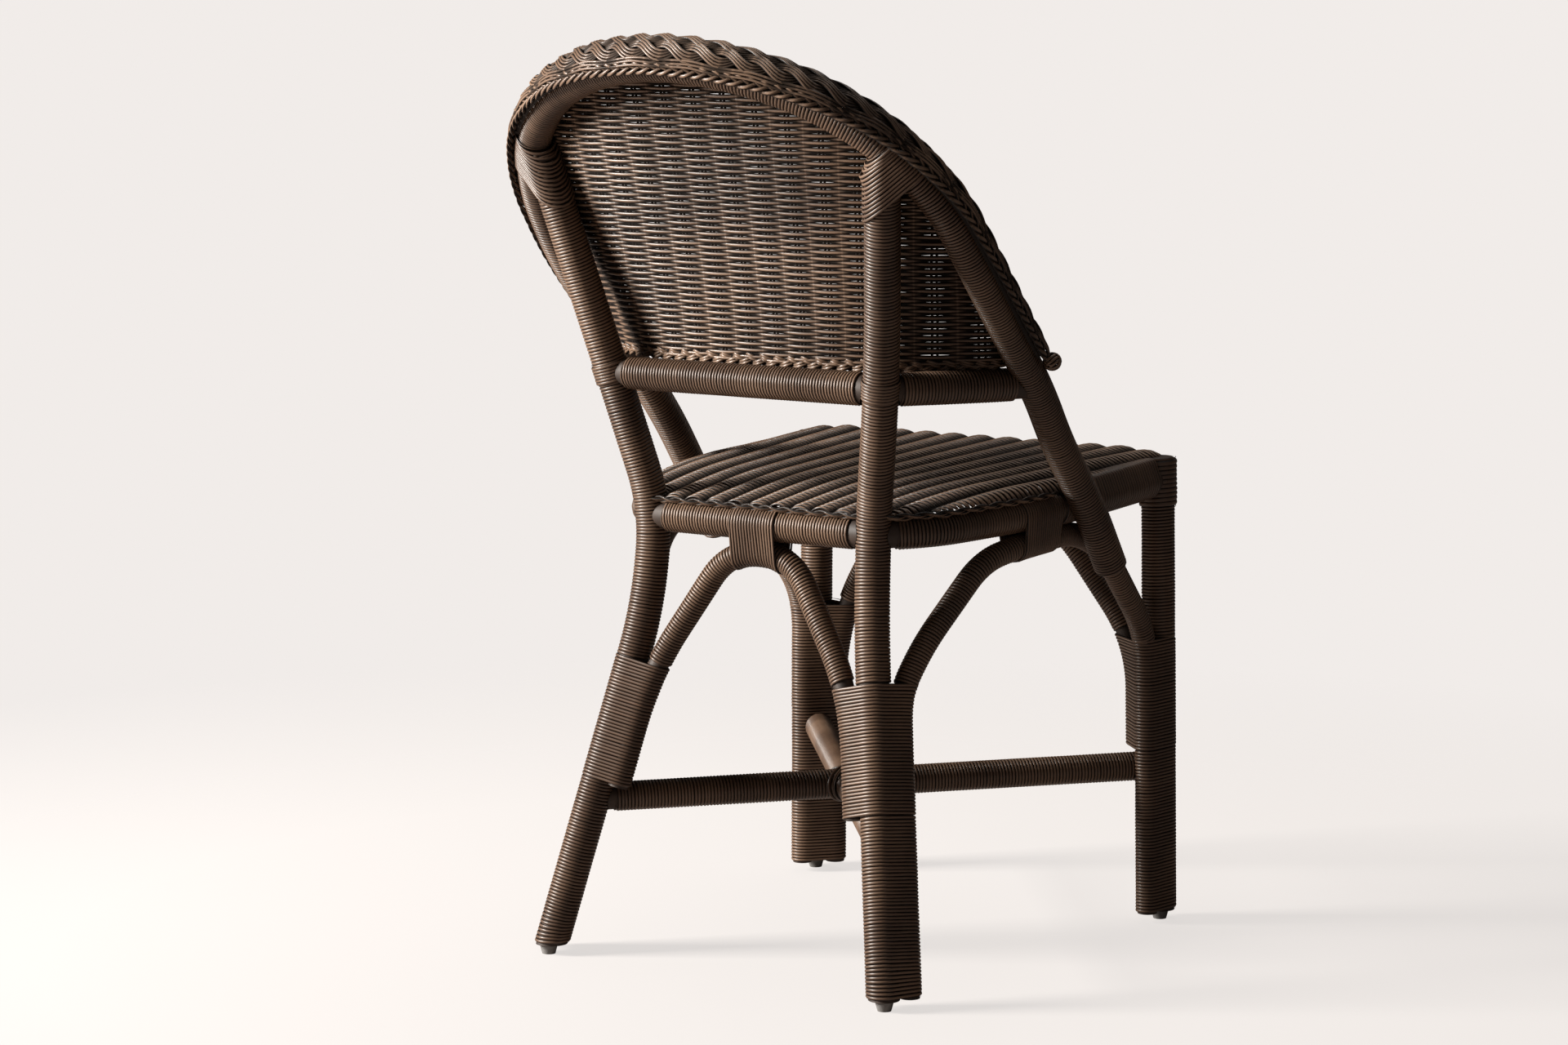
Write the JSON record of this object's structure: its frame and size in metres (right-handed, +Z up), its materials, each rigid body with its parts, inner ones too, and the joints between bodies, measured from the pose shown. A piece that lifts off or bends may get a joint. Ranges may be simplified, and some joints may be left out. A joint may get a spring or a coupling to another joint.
{
  "type": "side chair",
  "caption": "Rattan side chair with a rounded hoop back, woven back panel with rolled border, woven seat and bent braces.",
  "frame": {"origin": "on the floor, under the middle of the chair's bounding box", "axes": "+Z up, the chair's front faces -Y, and the sitter's right is -X"},
  "size_m": [0.5288, 0.5926, 0.8778],
  "materials": {
    "rattan_pole": "stained, satin",
    "cane_winding": "stained cane, satin lacquer",
    "woven_cane": "stained woven reed, satin lacquer",
    "glide": "moulded",
    "screw": "plain"
  },
  "bodies": {
    "root": {"back_border": "woven_cane", "back_hoop": "rattan_pole", "back_hoop_winding": "cane_winding", "back_panel": "woven_cane", "back_twine": "woven_cane", "border_braid": "woven_cane", "border_knots": "woven_cane", "brace_screws": "screw", "corner_bindings": "cane_winding", "crossing_lashing": "cane_winding", "crossrail": "rattan_pole", "crossrail_lashings": "cane_winding", "crossrail_left_wing": "rattan_pole", "crossrail_left_wing_winding": "cane_winding", "crossrail_right_wing": "rattan_pole", "crossrail_right_wing_winding": "cane_winding", "crossrail_winding": "cane_winding", "front_apex_binding": "cane_winding", "front_brace": "rattan_pole", "front_brace_winding": "cane_winding", "front_collars": "cane_winding", "front_left_foot_winding": "cane_winding", "front_left_leg": "rattan_pole", "front_left_leg_winding": "cane_winding", "front_right_foot_winding": "cane_winding", "front_right_leg": "rattan_pole", "front_right_leg_winding": "cane_winding", "glide_nails": "screw", "glides": "glide", "head_bindings": "cane_winding", "joint_screws": "screw", "left_brace": "rattan_pole", "left_brace_winding": "cane_winding", "rear_apex_binding": "cane_winding", "rear_brace": "rattan_pole", "rear_brace_winding": "cane_winding", "rear_collars": "cane_winding", "rear_foot_windings": "cane_winding", "rear_left_leg": "rattan_pole", "rear_left_leg_winding": "cane_winding", "rear_left_stretcher": "rattan_pole", "rear_left_stretcher_winding": "cane_winding", "rear_right_leg": "rattan_pole", "rear_right_leg_winding": "cane_winding", "rear_right_stretcher": "rattan_pole", "rear_right_stretcher_winding": "cane_winding", "right_brace": "rattan_pole", "right_brace_winding": "cane_winding", "seat_back_rail": "rattan_pole", "seat_back_rail_winding": "cane_winding", "seat_front_rail": "rattan_pole", "seat_front_rail_winding": "cane_winding", "seat_left_rail": "rattan_pole", "seat_left_rail_winding": "cane_winding", "seat_right_rail": "rattan_pole", "seat_right_rail_winding": "cane_winding", "seat_rim_bindings": "cane_winding", "seat_weave": "woven_cane", "side_apex_bindings": "cane_winding"}
  },
  "joints": []
}
